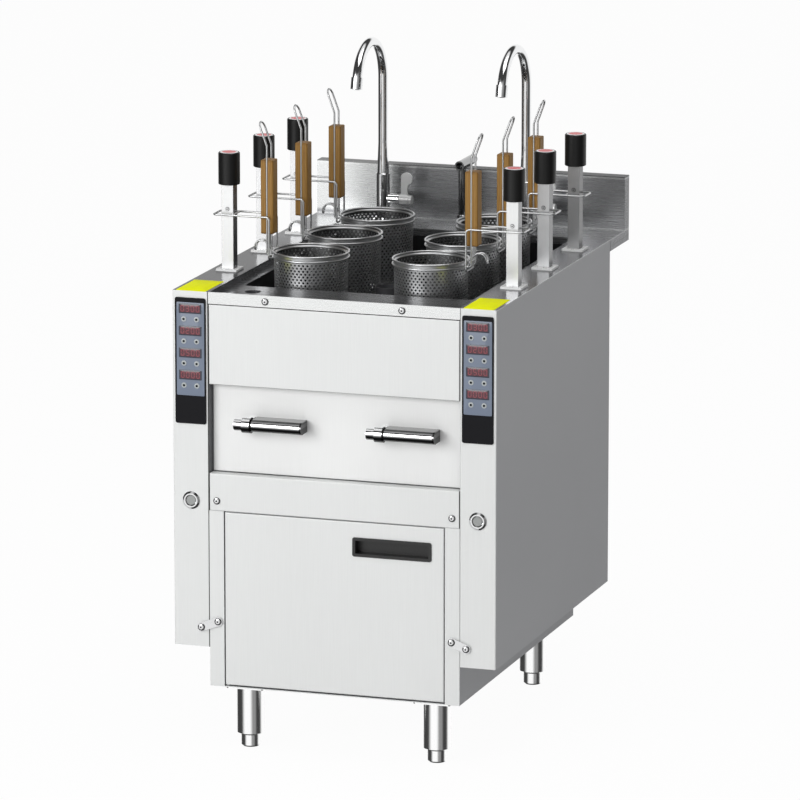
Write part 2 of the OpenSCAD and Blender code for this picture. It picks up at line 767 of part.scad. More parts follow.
// Bracket: a wire loop round the post, two arms, and a drop with a seat bar for the strainer
module basket_bracket(side, row) at_station(side, row) color("lightgray") {
    weld_u = post_w / 2 + wire_r;
    r1 = 6;
    r2 = 7;
    for (s = [-1, 1]) {
        wire([-outer_u + r1, s * arm_v, arm_up], [seat_u - r2, s * arm_v, arm_up]);
        translate([seat_u - r2, s * arm_v, arm_up - r2]) rotate([90, 0, 0]) bend(r2, 0, 90);
        wire([seat_u, s * arm_v, arm_up - r2], [seat_u, s * arm_v, seat_up + r1]);
        translate([seat_u, s * (arm_v - r1), seat_up + r1]) rotate([90, 0, 90])
            bend(r1, s > 0 ? 270 : 180, 90);
        translate([-outer_u + r1, s * (arm_v - r1), arm_up]) bend(r1, s > 0 ? 90 : 180, 90);
    }
    wire([seat_u, -arm_v + r1, seat_up], [seat_u, arm_v - r1, seat_up]);
    wire([-outer_u, -arm_v + r1, arm_up], [-outer_u, arm_v - r1, arm_up]);
    // cross wire, pressed flat where it is welded to the post's inner face
    difference() {
        wire([weld_u - 0.2, -arm_v, arm_up], [weld_u - 0.2, arm_v, arm_up]);
        translate([0, -post_w / 2, arm_up - 5]) cube([post_w / 2, post_w, 10]);
    }
}

// Half section of the strainer's cup, foot at the origin
module cup_section() {
    wall_foot = cup_foot_r - cup_corner_r;
    square([wall_foot, cup_t]);
    translate([wall_foot, cup_corner_r]) intersection() {
        difference() {
            circle(r = cup_corner_r);
            circle(r = cup_corner_r - cup_t);
        }
        translate([0, -cup_corner_r]) square(cup_corner_r);
    }
    polygon([[cup_foot_r - cup_t, cup_corner_r], [cup_foot_r, cup_corner_r],
        [cup_top_r, strainer_h - 2], [cup_top_r - cup_t, strainer_h - 2]]);
    for (drop = [rim_r, ring_drop]) translate([ring_r, strainer_h - drop]) circle(r = rim_r);
}

// Strainer: cup with rim and ring, handle wires up to a leaning loop, and a hook below the grip
module strainer(side, row) at_station(side, row) color("silver") {
    ring_up = rim_up - ring_drop;
    ring_u = strainer_u - sqrt(pow(ring_r, 2) - handle_v * handle_v);
    kink = grip_up + grip_l + 25;
    lean_l = 32;
    hook_r = 13;
    hook_v = 5;
    hook_up = rim_up;
    translate([strainer_u, 0, rim_up - strainer_h]) rotate_extrude() cup_section();
    for (s = [-1, 1]) {
        wire([handle_u + 4, s * handle_v, ring_up], [ring_u, s * handle_v, ring_up]);
        translate([handle_u + 4, s * handle_v, ring_up + 4]) rotate([90, 0, 0]) bend(4, 180, 90);
        wire([handle_u, s * handle_v, ring_up + 4], [handle_u, s * handle_v, kink - 0.8]);
        translate([handle_u, s * handle_v, kink]) rotate([90, 0, 0]) sphere(r = bead_r);
        // hook wires, over the top and down to the tip
        translate([handle_u - hook_r, s * hook_v, hook_up]) rotate([90, 0, 0])
            bend(hook_r, 0, 180, wire_r - 0.35);
    }
    translate([handle_u - 2 * hook_r, 0, hook_up]) rotate([90, 0, 90])
        bend(hook_v, 180, 180, wire_r - 0.35);
    wire([handle_u, -handle_v, hook_up], [handle_u, handle_v, hook_up], wire_r - 0.15);
    translate([handle_u, 0, kink]) rotate([0, -loop_lean, 0]) {
        for (s = [-1, 1]) {
            translate([0, s * handle_v, 0.8]) cylinder(h = lean_l - 1.6, r = wire_r);
            translate([0, s * handle_v, lean_l]) rotate([90, 0, 0]) sphere(r = bead_r);
        }
        translate([0, 0, lean_l]) rotate([90, 0, 90]) bend(handle_v, 0, 180);
    }
}

// Wooden grip with a groove on its front and its rear face for the handle wires
module grip(side, row) at_station(side, row) color("peru") difference() {
    translate([handle_u - grip_w / 2, -grip_d / 2, grip_up]) intersection() {
        linear_extrude(grip_l) round_rect(grip_w, grip_d, 3);
        rotate([90, 0, 90]) linear_extrude(grip_w) round_rect(grip_d, grip_l, 3);
        translate([0, grip_d, 0]) rotate([90, 0, 0]) linear_extrude(grip_d) round_rect(grip_w, grip_l, 3);
    }
    for (s = [-1, 1]) {
        translate([handle_u, s * handle_v, grip_up - 1]) cylinder(h = grip_l + 2, r = wire_r);
        translate([handle_u - wire_r, s * (handle_v + 2) - 2, grip_up - 1])
            cube([2 * wire_r, 4, grip_l + 2]);
    }
}

left_column();
right_column();
worktop();
tank();
heating_elements();
front_panels();
cabinet();
leg_tubes();
levelling_feet();
door();
door_pull();
drawer();
drawer_pulls();
drawer_electrics();
control_modules();
button_bezels();
left_start_button();
right_start_button();
deck_water_fittings();
left_tap_spout();
right_tap_spout();
left_tap_lever();
right_tap_lever();
left_latch();
right_latch();
front_screws();
lift_actuators();
post_guides();
drain_pipes();
drain_valve_lever();
for (side = [0, 1], row = ROWS) {
    lift_post(side, row);
    post_cap(side, row);
    basket_bracket(side, row);
    strainer(side, row);
    grip(side, row);
}
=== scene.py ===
import math

import bpy
import numpy as np
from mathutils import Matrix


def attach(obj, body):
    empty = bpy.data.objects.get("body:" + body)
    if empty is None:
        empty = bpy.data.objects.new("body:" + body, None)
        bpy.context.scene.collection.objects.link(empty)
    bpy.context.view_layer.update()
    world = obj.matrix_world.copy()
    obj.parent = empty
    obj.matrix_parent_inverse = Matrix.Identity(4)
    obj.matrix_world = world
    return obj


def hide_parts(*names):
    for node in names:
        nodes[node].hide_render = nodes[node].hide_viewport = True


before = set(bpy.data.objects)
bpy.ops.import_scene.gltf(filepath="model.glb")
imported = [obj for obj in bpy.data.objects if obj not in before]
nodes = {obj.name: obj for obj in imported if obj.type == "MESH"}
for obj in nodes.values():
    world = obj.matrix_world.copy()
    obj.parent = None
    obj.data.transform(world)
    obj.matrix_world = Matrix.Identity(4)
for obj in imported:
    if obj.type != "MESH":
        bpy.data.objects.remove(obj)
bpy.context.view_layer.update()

# Camera: a long lens to the right of the cooker and a little above it,
# at the place from which the photograph's edges line up.
camera_data = bpy.data.cameras.new("camera")
camera_data.sensor_width = 36.0
camera_data.lens = 297.17
camera_data.clip_end = 100.0
camera = bpy.data.objects.new("camera", camera_data)
camera.location = (3.6496, -11.1294, 3.088)
camera.rotation_euler = (math.radians(90 - 12.138), 0.0, math.radians(18.192))
bpy.context.scene.collection.objects.link(camera)
bpy.context.scene.camera = camera


# Studio: a white floor that runs on into a white surround, one large soft lamp before the front
# panels and a weaker one from above. Metal mirrors a lit wall before and behind and dark sides.
class Value:
    """One number in a shader. Arithmetic on it adds Math nodes, so 1 - v is written as it reads."""

    def __init__(self, shader, socket):
        self.shader, self.socket = shader, socket

    def math(self, operation, *values, clamp=False):
        settings = {"operation": operation, "use_clamp": clamp}
        return self.shader.node("ShaderNodeMath", settings, *values)

    def __add__(self, other): return self.math("ADD", self, other)
    def __radd__(self, other): return self.math("ADD", other, self)
    def __sub__(self, other): return self.math("SUBTRACT", self, other)
    def __rsub__(self, other): return self.math("SUBTRACT", other, self)
    def __mul__(self, other): return self.math("MULTIPLY", self, other)
    def __rmul__(self, other): return self.math("MULTIPLY", other, self)
    def __gt__(self, other): return self.math("GREATER_THAN", self, other)
    def __lt__(self, other): return self.math("LESS_THAN", self, other)
    def __abs__(self): return self.math("ABSOLUTE", self)
    def __mod__(self, other): return self.math("MODULO", self, other)
    def sine(self): return self.math("SINE", self)
    def root(self): return self.math("SQRT", self)
    def clamped(self): return self.math("ADD", self, 0.0, clamp=True)

    def length(self, other):
        """Length of the vector (self, other): the root of the sum of the squares."""
        return (self * self + other * other).root()

    def step(self, low, high):
        """Rises smoothly from 0 at low to 1 at high."""
        return self.shader.node("ShaderNodeMapRange", {"interpolation_type": "SMOOTHSTEP"},
                                self, low, high, 0.0, 1.0)

    def band(self, low, high, edge):
        """1 between low and high and 0 outside, with soft edges."""
        return self.step(low - edge, low + edge) * (1 - self.step(high - edge, high + edge))


class Shader:
    """A node tree and the shader at its end."""

    def __init__(self, tree):
        self.tree = tree
        tree.nodes.clear()

    def node(self, kind, settings=None, *inputs, out=0, **named):
        """Adds a node: first its settings, then values or links for its sockets, by place or by name."""
        node = self.tree.nodes.new(kind)
        for key, value in (settings or {}).items():
            setattr(node, key, value)
        for key, value in [*enumerate(inputs), *named.items()]:
            socket = node.inputs[key]
            if isinstance(value, Value):
                self.tree.links.new(value.socket, socket)
            elif isinstance(value, tuple) and len(value) == 3 and socket.type == "RGBA":
                socket.default_value = (*value, 1.0)
            else:
                socket.default_value = value
        return Value(self, node.outputs[out]) if node.outputs else node

    def coordinate(self, output="Object"):
        return self.node("ShaderNodeTexCoord", out=output)

    def axes(self, vector):
        split = self.tree.nodes.new("ShaderNodeSeparateXYZ")
        self.tree.links.new(vector.socket, split.inputs[0])
        return [Value(self, socket) for socket in split.outputs]

    def stretched(self, scale):
        """Object coordinates, closer together or further apart along each axis."""
        return self.node("ShaderNodeMapping", None, self.coordinate(), Scale=scale)

    def noise(self, vector, scale, detail=2.0, roughness=0.5):
        return self.node("ShaderNodeTexNoise", None, Vector=vector, Scale=scale, Detail=detail,
                         Roughness=roughness)

    def colours(self, factor, first, second):
        """The first colour where factor is 0 and the second where it is 1."""
        node = self.tree.nodes.new("ShaderNodeMix")
        node.data_type = "RGBA"
        for place, value in ((0, factor), (6, first), (7, second)):
            if isinstance(value, Value):
                self.tree.links.new(value.socket, node.inputs[place])
            elif place:
                node.inputs[place].default_value = (*value, 1.0)
            else:
                node.inputs[place].default_value = value
        return Value(self, node.outputs[2])

    def bump(self, height, strength, distance):
        return self.node("ShaderNodeBump", None, Height=height, Strength=strength, Distance=distance)


def ray_is(shader, *kinds):
    """1 for a ray of any of these kinds and 0 for all others."""
    path = shader.tree.nodes.new("ShaderNodeLightPath")
    rays = [Value(shader, path.outputs[f"Is {kind} Ray"]) for kind in kinds]
    return sum(rays[1:], rays[0]).clamped()


# In the mirrored room, turn is the angle round the cooker in degrees: 0 before it, 90 at its right.
world = bpy.data.worlds.new("studio")
bpy.context.scene.world = world
world.use_nodes = True
air = Shader(world.node_tree)
air_x, air_y, air_z = air.axes(air.coordinate("Generated"))
fill_light = 0.34
turn = air.node("ShaderNodeMath", {"operation": "ARCTAN2"}, air_x, 0 - air_y) * math.degrees(1)
front_wall = turn.step(-62, -29) * (1 - turn.step(12, 36))
side_wall = 0.22 * turn.step(14, 34) * (1 - turn.step(54, 70))
back_wall = turn.step(96, 122) + turn.step(-116, -140)
walls = (0.95 * (front_wall + back_wall) + side_wall) * air_z.band(-0.52, 0.46, 0.10)
mirrored_room = 0.05 + walls + 0.85 * air_z.step(0.80, 0.93)
seen, mirrored = ray_is(air, "Camera", "Transmission"), ray_is(air, "Glossy")
strength = seen + (1 - seen) * (mirrored * mirrored_room + (1 - mirrored) * fill_light)
background = air.node("ShaderNodeBackground", None, (1.0, 1.0, 1.0), strength)
surround = world.node_tree.nodes.new("ShaderNodeOutputWorld")
world.node_tree.links.new(background.socket, surround.inputs[0])

half = 60.0
floor_mesh = bpy.data.meshes.new("floor")
floor_mesh.from_pydata([(-half, -half, 0), (half, -half, 0), (half, half, 0), (-half, half, 0)], [],
                       [(0, 1, 2, 3)])
floor = bpy.data.objects.new("floor", floor_mesh)
bpy.context.scene.collection.objects.link(floor)
floor.visible_glossy = False
floor_paint = bpy.data.materials.new("floor_paint")
floor_paint.use_nodes = True
paint = Shader(floor_paint.node_tree)
glow_share = 0.965
shade = paint.node("ShaderNodeBsdfDiffuse", None, (0.9, 0.9, 0.9))
glow = paint.node("ShaderNodeEmission", None, (1.0, 1.0, 1.0), 1.0)
floor_mix = paint.node("ShaderNodeMixShader", None,
                       ray_is(paint, "Camera", "Glossy", "Transmission") * glow_share, shade, glow)
floor_out = floor_paint.node_tree.nodes.new("ShaderNodeOutputMaterial")
floor_paint.node_tree.links.new(floor_mix.socket, floor_out.inputs[0])
floor_mesh.materials.append(floor_paint)

for lamp_name, place, aim, width, height, power in (
        ("front_lamp", (-2.2, -4.6, 2.2), (0.0, -0.2, 0.5), 3.4, 2.6, 142.0),
        ("top_lamp", (0.6, -0.6, 4.2), (0.0, 0.0, 0.6), 2.4, 2.4, 40.0)):
    lamp_data = bpy.data.lights.new(lamp_name, "AREA")
    lamp_data.shape = "RECTANGLE"
    lamp_data.size, lamp_data.size_y, lamp_data.energy = width, height, power
    lamp = bpy.data.objects.new(lamp_name, lamp_data)
    lamp.location = place
    way = np.array(aim) - np.array(place)
    lamp.rotation_euler = (math.atan2(math.hypot(way[0], way[1]), -way[2]), 0.0,
                           math.atan2(-way[0], way[1]))
    bpy.context.scene.collection.objects.link(lamp)

# Side columns: closed boxes folded from stainless sheet. The front is a bright brushed panel,
# the outer wall and the top are painted a cooler, darker grey as painted shade.
front_y, half_width, worktop_z = -0.398, 0.300, 0.829
left_seam, right_seam = (0.2344, 0.2350), (0.2333, 0.2337)
bright_sheet, shaded_sheet = (0.78, 0.79, 0.785), (0.385, 0.389, 0.402)
soft_edge_tint = (0.5, 0.5, 0.5, 1.0)


def finish(name, colour, roughness, metallic=0.0, **fixed):
    """A new material with a Principled shader: the material, its Shader and the Principled node."""
    material = bpy.data.materials.new(name)
    material.use_nodes = True
    shader = Shader(material.node_tree)
    principled = material.node_tree.nodes.new("ShaderNodeBsdfPrincipled")
    output = material.node_tree.nodes.new("ShaderNodeOutputMaterial")
    material.node_tree.links.new(principled.outputs[0], output.inputs[0])
    uniform = {"Base Color": (*colour, 1.0), "Roughness": roughness, "Metallic": metallic}
    uniform.update({key.replace("_", " "): value for key, value in fixed.items()})
    for key, value in uniform.items():
        principled.inputs[key].default_value = value
    return material, shader, principled


def link(shader, principled, **values):
    """Links shader values to the Principled node, with spaces in socket names written as underscores."""
    for key, value in values.items():
        shader.tree.links.new(value.socket, principled.inputs[key.replace("_", " ")])


def sheet_steel(name, colour, roughness, metallic, along, grain=900.0, second=None, mask=None,
                painted_shade_and_darkening=None, polish=None, lines=0.10, relief=0.12, **fixed):
    """Brushed sheet: noise stretched along one or more axes moves its tone, roughness and bump, and a
    broad noise its tone. mask takes x, y and z and gives where the second colour shows; a second such
    function gives where painted shade in gaps, recesses and on shaded faces, and plain darkening,
    darken the sheet, and polish where it is bare and smooth."""
    stretch, cloud_scale, scratch_depth, bare_metallic = 0.012, 3.5, 0.0003, 0.7
    material, shader, principled = finish(name, colour, roughness, metallic, **fixed)
    scale = tuple(stretch if axis in along else 1.0 for axis in "xyz")
    streaks = shader.noise(shader.stretched(scale), grain, 3.0, 0.65)
    cloud = shader.noise(shader.coordinate(), cloud_scale, 2.0)
    tone = 0.97 - 0.5 * lines + lines * streaks + 0.06 * cloud
    if painted_shade_and_darkening:
        tone = tone * (1 - 0.96 * painted_shade_and_darkening(*shader.axes(shader.coordinate())))
    if second:
        where = mask(*shader.axes(shader.coordinate()))
        parts = [tone * (first + (last - first) * where) for first, last in zip(colour, second)]
    else:
        parts = [tone * part for part in colour]
    grey = shader.node("ShaderNodeCombineColor", None, *parts)
    dullness = roughness * 0.8 + roughness * 0.4 * streaks
    if polish:
        bare = polish(*shader.axes(shader.coordinate()))
        dullness = dullness * (1 - 0.6 * bare)
        link(shader, principled, Metallic=metallic + (bare_metallic - metallic) * bare)
    link(shader, principled, Base_Color=grey, Roughness=dullness,
         Normal=shader.bump(streaks, relief, scratch_depth))
    return material


def dress(material, *names):
    """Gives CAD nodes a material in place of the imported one."""
    for name in names:
        slots = nodes[name].data.materials
        slots.clear()
        slots.append(material)


def behind_front(x, y, z):
    """0 on the front face and 1 behind it."""
    return y.step(front_y + 0.0004, front_y + 0.0022)


def column_top(x, y, z):
    """1 on the flat top of each column, which is rubbed bare."""
    return z.step(worktop_z - 0.0006, worktop_z - 0.0002) * behind_front(x, y, z)


def shade_and_lit_edge(x, y, z):
    """1 on tops and walls, painted shade, 0 on the front, and less along the tops' outer edges, a painted
    highlight.
    """
    outer, top = abs(x) - half_width, z - worktop_z
    edge = outer.step(-0.0014, -0.0010) * top.step(-0.0016, -0.0012)
    return behind_front(x, y, z) * (1 - 0.7 * edge)


def column_shade_and_darkening(x, y, z):
    """Painted shade: the dark gap line at the inner edge of each column's front, carried on more weakly
    onto the wall behind it that the drawer passes. Also darker: the walls towards the bottom, and the
    tops, most at the left and in front."""
    left = (1 - (0 - x).step(*left_seam)) * (x < 0)
    right = (1 - x.step(*right_seam)) * (x > 0)
    behind = behind_front(x, y, z)
    tops = column_top(x, y, z) * (0.20 + 0.42 * (x < 0)) * (1 - 0.7 * y.step(0.02, 0.18))
    lower_wall = 0.07 * behind * (1 - z.step(0.35, 0.80))
    return ((left + right) * (1 - 0.45 * behind) + lower_wall + tops).clamped()


# The walls and tops take the darker grey as painted shade.
column_steel = sheet_steel("column_steel", bright_sheet, 0.45, 0.15, "z", second=shaded_sheet,
                           mask=shade_and_lit_edge, painted_shade_and_darkening=column_shade_and_darkening, polish=column_top,
                           Specular_IOR_Level=0.2, Specular_Tint=soft_edge_tint)
dress(column_steel, "left_column", "right_column")

# Cabinet: shell, front stiles, shelf and runners, welded from the same sheet as the columns.
# Its front is brushed bright; everything behind the front, the inner walls of the drawer and door
# openings too, is painted a darker grey as painted shade.
cabinet_steel = sheet_steel("cabinet_steel", bright_sheet, 0.45, 0.15, "z", second=(0.30, 0.303, 0.315),
                            mask=behind_front, Specular_IOR_Level=0.2)
dress(cabinet_steel, "cabinet")

# Front panels, drawer front and door: folded stainless sheet, brushed upright. The panels are
# screwed on, the door hangs on hinge blocks, and the drawer runs in two slides.
def panel_gap_shade(x, y, z):
    """Painted shade in the gaps along the folded edges: top and foot of the upper panel and the sides of all
    panels.
    """
    top, foot = z.step(0.8063, 0.8067), z.band(0.6629, 0.6636, 0.0002)
    return (top + foot + abs(x).step(0.2316, 0.2320)).clamped()


panel_steel = sheet_steel("panel_steel", bright_sheet, 0.45, 0.15, "z", painted_shade_and_darkening=panel_gap_shade,
                          Specular_IOR_Level=0.2)
dress(panel_steel, "front_panels", "door")
# The drawer front is painted lighter than the panels, painted light that makes up for the shade under the
# upper panel.
drawer_steel_lightened = sheet_steel("drawer_steel_lightened", (0.86, 0.865, 0.86), 0.45, 0.15, "z", painted_shade_and_darkening=panel_gap_shade,
                           Specular_IOR_Level=0.2)
dress(drawer_steel_lightened, "drawer")

# Legs: ground stainless tubes welded to plates under the cabinet, each with a foot
# that screws in and out to level the cooker.
leg_steel = sheet_steel("leg_steel", (0.99, 0.99, 0.99), 0.17, 1.0, "z", 500.0, lines=0.05)
dress(leg_steel, "leg_tubes", "levelling_feet")

# Worktop: one sheet with a folded front lip, a pressed spill tray and a backsplash,
# brushed across and so smooth that posts and strainers mirror in it.
def deck_shade_and_splash_light(x, y, z):
    """1 where the sheet is painted the darker grey as painted shade: all but the front lip, the left end of
    the backsplash, which keeps the bright colour as a painted reflection, and the hem of the backsplash,
    and in part the deck behind the tank."""
    up = z - worktop_z
    splash_painted_light = 0.85 * (1 - x.step(-0.19, -0.10)) * up.step(0.004, 0.012) * y.step(0.2, 0.3)
    hem = 0.45 * up.band(0.0952, 0.0982, 0.0003)
    rear_deck = 0.35 * y.step(0.215, 0.235) * up.band(-0.002, 0.002, 0.001)
    return behind_front(x, y, z) * (1 - (splash_painted_light + hem + rear_deck).clamped())


def hem_shade_and_darkening(x, y, z):
    """Painted shade in the hem at the foot of the front lip, and darkening: the rest of the lip a little,
    the tray, most in front, and the top edge of the backsplash."""
    front_face, up = 1 - behind_front(x, y, z), z - worktop_z
    hem = (1 - z.step(0.8080, 0.8084)) * 0.93 + 0.07
    tray = up.band(-0.0145, -0.0105, 0.001) * (1 - front_face)
    tray_darkening = 0.15 + 0.15 * (1 - y.step(-0.345, -0.300))
    top_edge = 0.6 * up.step(0.0984, 0.0987)
    return (front_face * hem + tray * tray_darkening + top_edge).clamped()


# The deck and backsplash take the darker grey as painted shade beside the bright front lip.
deck_steel = sheet_steel("deck_steel", bright_sheet, 0.27, 0.85, "x", second=(0.31, 0.313, 0.322),
                         mask=deck_shade_and_splash_light, painted_shade_and_darkening=hem_shade_and_darkening, lines=0.03, relief=0.012,
                         Specular_Tint=soft_edge_tint)
dress(deck_steel, "worktop")

# Tank: a welded stainless box that hangs in the worktop, painted near black as painted shade inside
# the deep box, with sheathed elements over its floor.
tank_steel = sheet_steel("tank_steel", (0.030, 0.030, 0.032), 0.45, 0.6, "y", lines=0.3,
                         Specular_IOR_Level=0.2)
dress(tank_steel, "tank")
element_steel = sheet_steel("element_steel", (0.09, 0.09, 0.10), 0.5, 0.7, "y", lines=0.3)
dress(element_steel, "heating_elements")

# Drains: grey plastic pipes below the tank, the cup of the overflow inside it, and a ball valve
# with a vinyl-dipped lever.
def moulded(name, colour, roughness, grain, dull_low, dull_span, relief, depth, **fixed):
    """A moulded finish: fine noise, with its scale and detail in grain, moves roughness and bump."""
    material, shader, principled = finish(name, colour, roughness, **fixed)
    texture = shader.noise(shader.coordinate(), *grain)
    link(shader, principled, Roughness=dull_low + dull_span * texture,
         Normal=shader.bump(texture, relief, depth))
    return material


def above_tank_floor(x, y, z):
    """1 on the cup of the overflow inside the tank and 0 on the pipes below its floor."""
    return z.step(0.634, 0.637)


pipe_plastic = sheet_steel("pipe_plastic", (0.33, 0.35, 0.37), 0.5, 0.0, "z", 60.0,
                           second=(0.06, 0.06, 0.065), mask=above_tank_floor)
dress(pipe_plastic, "drain_pipes")
valve_vinyl = moulded("valve_vinyl", (0.5, 0.03, 0.02), 0.45, (400.0, 2.0), 0.35, 0.2, 0.1, 0.0002)
dress(valve_vinyl, "drain_valve_lever")

# Fastenings and fittings: pan-head screws and swing latches of bare steel, and chromed taps,
# levers, drawer pulls and bezels.
screw_steel = sheet_steel("screw_steel", (0.74, 0.745, 0.75), 0.2, 1.0, "x", 300.0, relief=0.04)
dress(screw_steel, "left_latch", "right_latch")


def shaded_head_rims(x, y, z):
    """Painted shade: 1 on the sloping rims of the screw heads, which stand on the face or 3.6 mm before it.
    """
    return (y.band(front_y - 0.0023, front_y + 0.0010, 0.0002)
            + y.band(front_y - 0.0059, front_y - 0.0036, 0.0002)).clamped()


head_steel = sheet_steel("head_steel", (0.80, 0.805, 0.81), 0.22, 1.0, "x", 300.0,
                         second=(0.10, 0.10, 0.105), mask=shaded_head_rims, relief=0.04)
dress(head_steel, "front_screws")
chrome_grey = (0.84, 0.845, 0.85)
chrome = sheet_steel("chrome", chrome_grey, 0.08, 1.0, "xyz", lines=0.04, relief=0.02)
dress(chrome, "left_tap_spout", "right_tap_spout", "button_bezels")
lever_steel = sheet_steel("lever_steel", (0.66, 0.665, 0.665), 0.32, 0.35, "xyz", lines=0.04, relief=0.02)
dress(lever_steel, "left_tap_lever", "right_tap_lever")


def refill_tap(x, y, z):
    """1 on the small refill tap between the two swan necks, whose chrome is painted darker."""
    return 0.62 * x.band(-0.030, 0.038, 0.002) * z.step(worktop_z + 0.008, worktop_z + 0.012)


fitting_chrome = sheet_steel("fitting_chrome", chrome_grey, 0.10, 1.0, "xyz", painted_shade_and_darkening=refill_tap,
                             lines=0.04, relief=0.02)
dress(fitting_chrome, "deck_water_fittings")
pull_x, pull_z = 0.123, 0.596


def pull_shade(x, y, z):
    """The top plate, end plate and underside of each pull, and the groove between collar and bar."""
    place, up = (x + pull_x) * (x < 0) + (x - pull_x) * (x > 0), z - pull_z
    plates = up.step(0.0066, 0.0080) * place.step(-0.026, -0.025) + place.step(0.0646, 0.0650)
    underside = 1 - up.step(-0.0012, 0.0008)
    groove = place.band(-0.0278, -0.0248, 0.0003)
    return (0.84 * plates + 0.90 * underside + groove).clamped()


pull_chrome = sheet_steel("pull_chrome", chrome_grey, 0.10, 1.0, "xyz", painted_shade_and_darkening=pull_shade,
                          lines=0.04, relief=0.02)
dress(pull_chrome, "drawer_pulls")

# Door pull: a black moulded cup with a fine grain, pressed into the door. The lift drives
# inside the columns have black housings of the same moulding.
black_plastic = moulded("black_plastic", (0.013, 0.013, 0.013), 0.4, (1800.0, 2.0), 0.3, 0.18,
                        0.12, 0.0002)
dress(black_plastic, "door_pull", "lift_actuators")

# Electrical gear in the drawer: dark contactors and a pale terminal row,
# screwed to a zinc-plated sheet over the drawer's floor.
def contactors(x, y, z):
    """1 on the housings of the contactors, which stand above the plate in its front half."""
    return z.step(0.5225, 0.5229) * (1 - y.step(-0.104, -0.1035))


gear_finish = sheet_steel("gear_finish", (0.42, 0.42, 0.43), 0.4, 0.3, "x", 300.0,
                          second=(0.05, 0.05, 0.055), mask=contactors)
dress(gear_finish, "drawer_electrics")

# Push buttons: a pale grey moulded lens with a ribbed face, sprung in each chromed bezel
# on the fronts of the columns.
lens_grey, lens_shader, lens_node = finish("lens_grey", (0.33, 0.34, 0.335), 0.35, 0.1)
lens_x, _, lens_z = lens_shader.axes(lens_shader.coordinate())
ribs = ((lens_x + lens_z) * 2600.0).sine()
speck = lens_shader.noise(lens_shader.coordinate(), 700.0, 2.0)
link(lens_shader, lens_node, Roughness=0.25 + 0.2 * speck, Normal=lens_shader.bump(ribs, 0.15, 0.0002))
dress(lens_grey, "left_start_button", "right_start_button")

# Yellow patches: thin vinyl film with rounded corners, stuck on the front end
# of each column's top and left plain.
def grid_of(first, count, rings, ring_size):
    """Quads between neighbouring rings of ring_size points each, numbered on from first."""
    a, b = np.meshgrid(np.arange(count), np.arange(ring_size), indexing="ij")
    here, there = first + a * ring_size, first + (a + 1) % rings * ring_size
    next_b = (b + 1) % ring_size
    return np.stack([here + b, here + next_b, there + next_b, there + b], -1).reshape(-1, 4)


def outward(points, faces):
    """Turns every face of a closed shell round if the shell holds less than no volume,
    which is the sum of a . (b x c) over its triangles."""
    a, b, c, d = (points[faces[:, k]] for k in range(4))
    volume = (a * np.cross(b, c)).sum() + (a * np.cross(c, d)).sum()
    return points, (faces if volume > 0 else faces[:, [0, 3, 2, 1]])


def moved(form, *place):
    """The form (points, faces), carried to a place."""
    points, faces = form
    return points + place, faces


def solid_piece(name, points, faces, material, slot, body):
    """A piece that rides on a body, from quads; a quad with two neighbouring corners in one place is a
    triangle. Edges between faces that meet at more than sharp_angle degrees stay sharp."""
    sharp_angle, touching = 35.0, 1e-9
    corner = [points[faces[:, k]] for k in range(4)]
    keep = np.stack([np.abs(corner[k] - corner[(k + 1) % 4]).max(axis=1) > touching for k in range(4)], 1)
    whole = keep.sum(axis=1) >= 3
    faces, keep = faces[whole], keep[whole]
    sizes = keep.sum(axis=1)
    mesh = bpy.data.meshes.new(name)
    mesh.vertices.add(len(points))
    mesh.vertices.foreach_set("co", points.astype(np.float32).ravel())
    mesh.loops.add(int(sizes.sum()))
    mesh.loops.foreach_set("vertex_index", faces[keep].astype(np.int32))
    mesh.polygons.add(len(faces))
    mesh.polygons.foreach_set("loop_start", (np.cumsum(sizes) - sizes).astype(np.int32))
    mesh.update(calc_edges=True)
    mesh.validate()
    mesh.polygons.foreach_set("use_smooth", np.ones(len(mesh.polygons), bool))
    mesh.set_sharp_from_angle(angle=math.radians(sharp_angle))
    mesh.materials.append(material)
    piece = bpy.data.objects.new(name, mesh)
    bpy.context.scene.collection.objects.link(piece)
    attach(piece, body)
    return piece


def rounded_rectangle(width, height, radius, inset):
    """Outline of a rectangle about its middle, with quarter circles at its corners, moved in by inset."""
    least_radius, corner_points = 0.00005, 5
    turn = np.linspace(0, np.pi / 2, corner_points)
    radius_in = max(radius - inset, least_radius)
    outline = []
    for quarter, (sx, sy) in enumerate(((1, 1), (-1, 1), (-1, -1), (1, -1))):
        angle = turn + quarter * np.pi / 2
        outline.append(np.stack([sx * (width / 2 - radius) + radius_in * np.cos(angle),
                                 sy * (height / 2 - radius) + radius_in * np.sin(angle)], 1))
    return np.concatenate(outline)


def fan(here, after, middle):
    """Triangles from each edge (here, after) of a ring to one middle point, as quads with a double corner."""
    return np.stack([here, after, np.full(len(here), middle), np.full(len(here), middle)], -1)


def slab(outlines, heights):
    """A closed form from outlines of equal length stacked at rising heights (x, y, height),
    with a fan of triangles round the middle of the first and the last."""
    size = len(outlines[0])
    rings = np.concatenate([np.column_stack([outline, np.full(size, height)])
                            for outline, height in zip(outlines, heights)])
    low, high = (np.append(np.mean(outlines[k], axis=0), heights[k]) for k in (0, -1))
    n, last, k = len(rings), (len(outlines) - 1) * size, np.arange(size)
    after = (k + 1) % size
    fans = [fan(k, after, n), fan(last + after, last + k, n + 1)]
    walls = grid_of(0, len(outlines) - 1, len(outlines), size)[:, [0, 3, 2, 1]]
    return outward(np.concatenate([rings, [low, high]]), np.concatenate([walls, *fans]))


def plate(width, height, radius, thickness, edge):
    """A flat plate with rounded corners and a small rounded edge on its face, middle at the origin."""
    insets = (0.0, 0.0, edge * 0.3, edge)
    return slab([rounded_rectangle(width, height, radius, inset) for inset in insets],
                [0.0, thickness - edge, thickness - edge * 0.3, thickness])
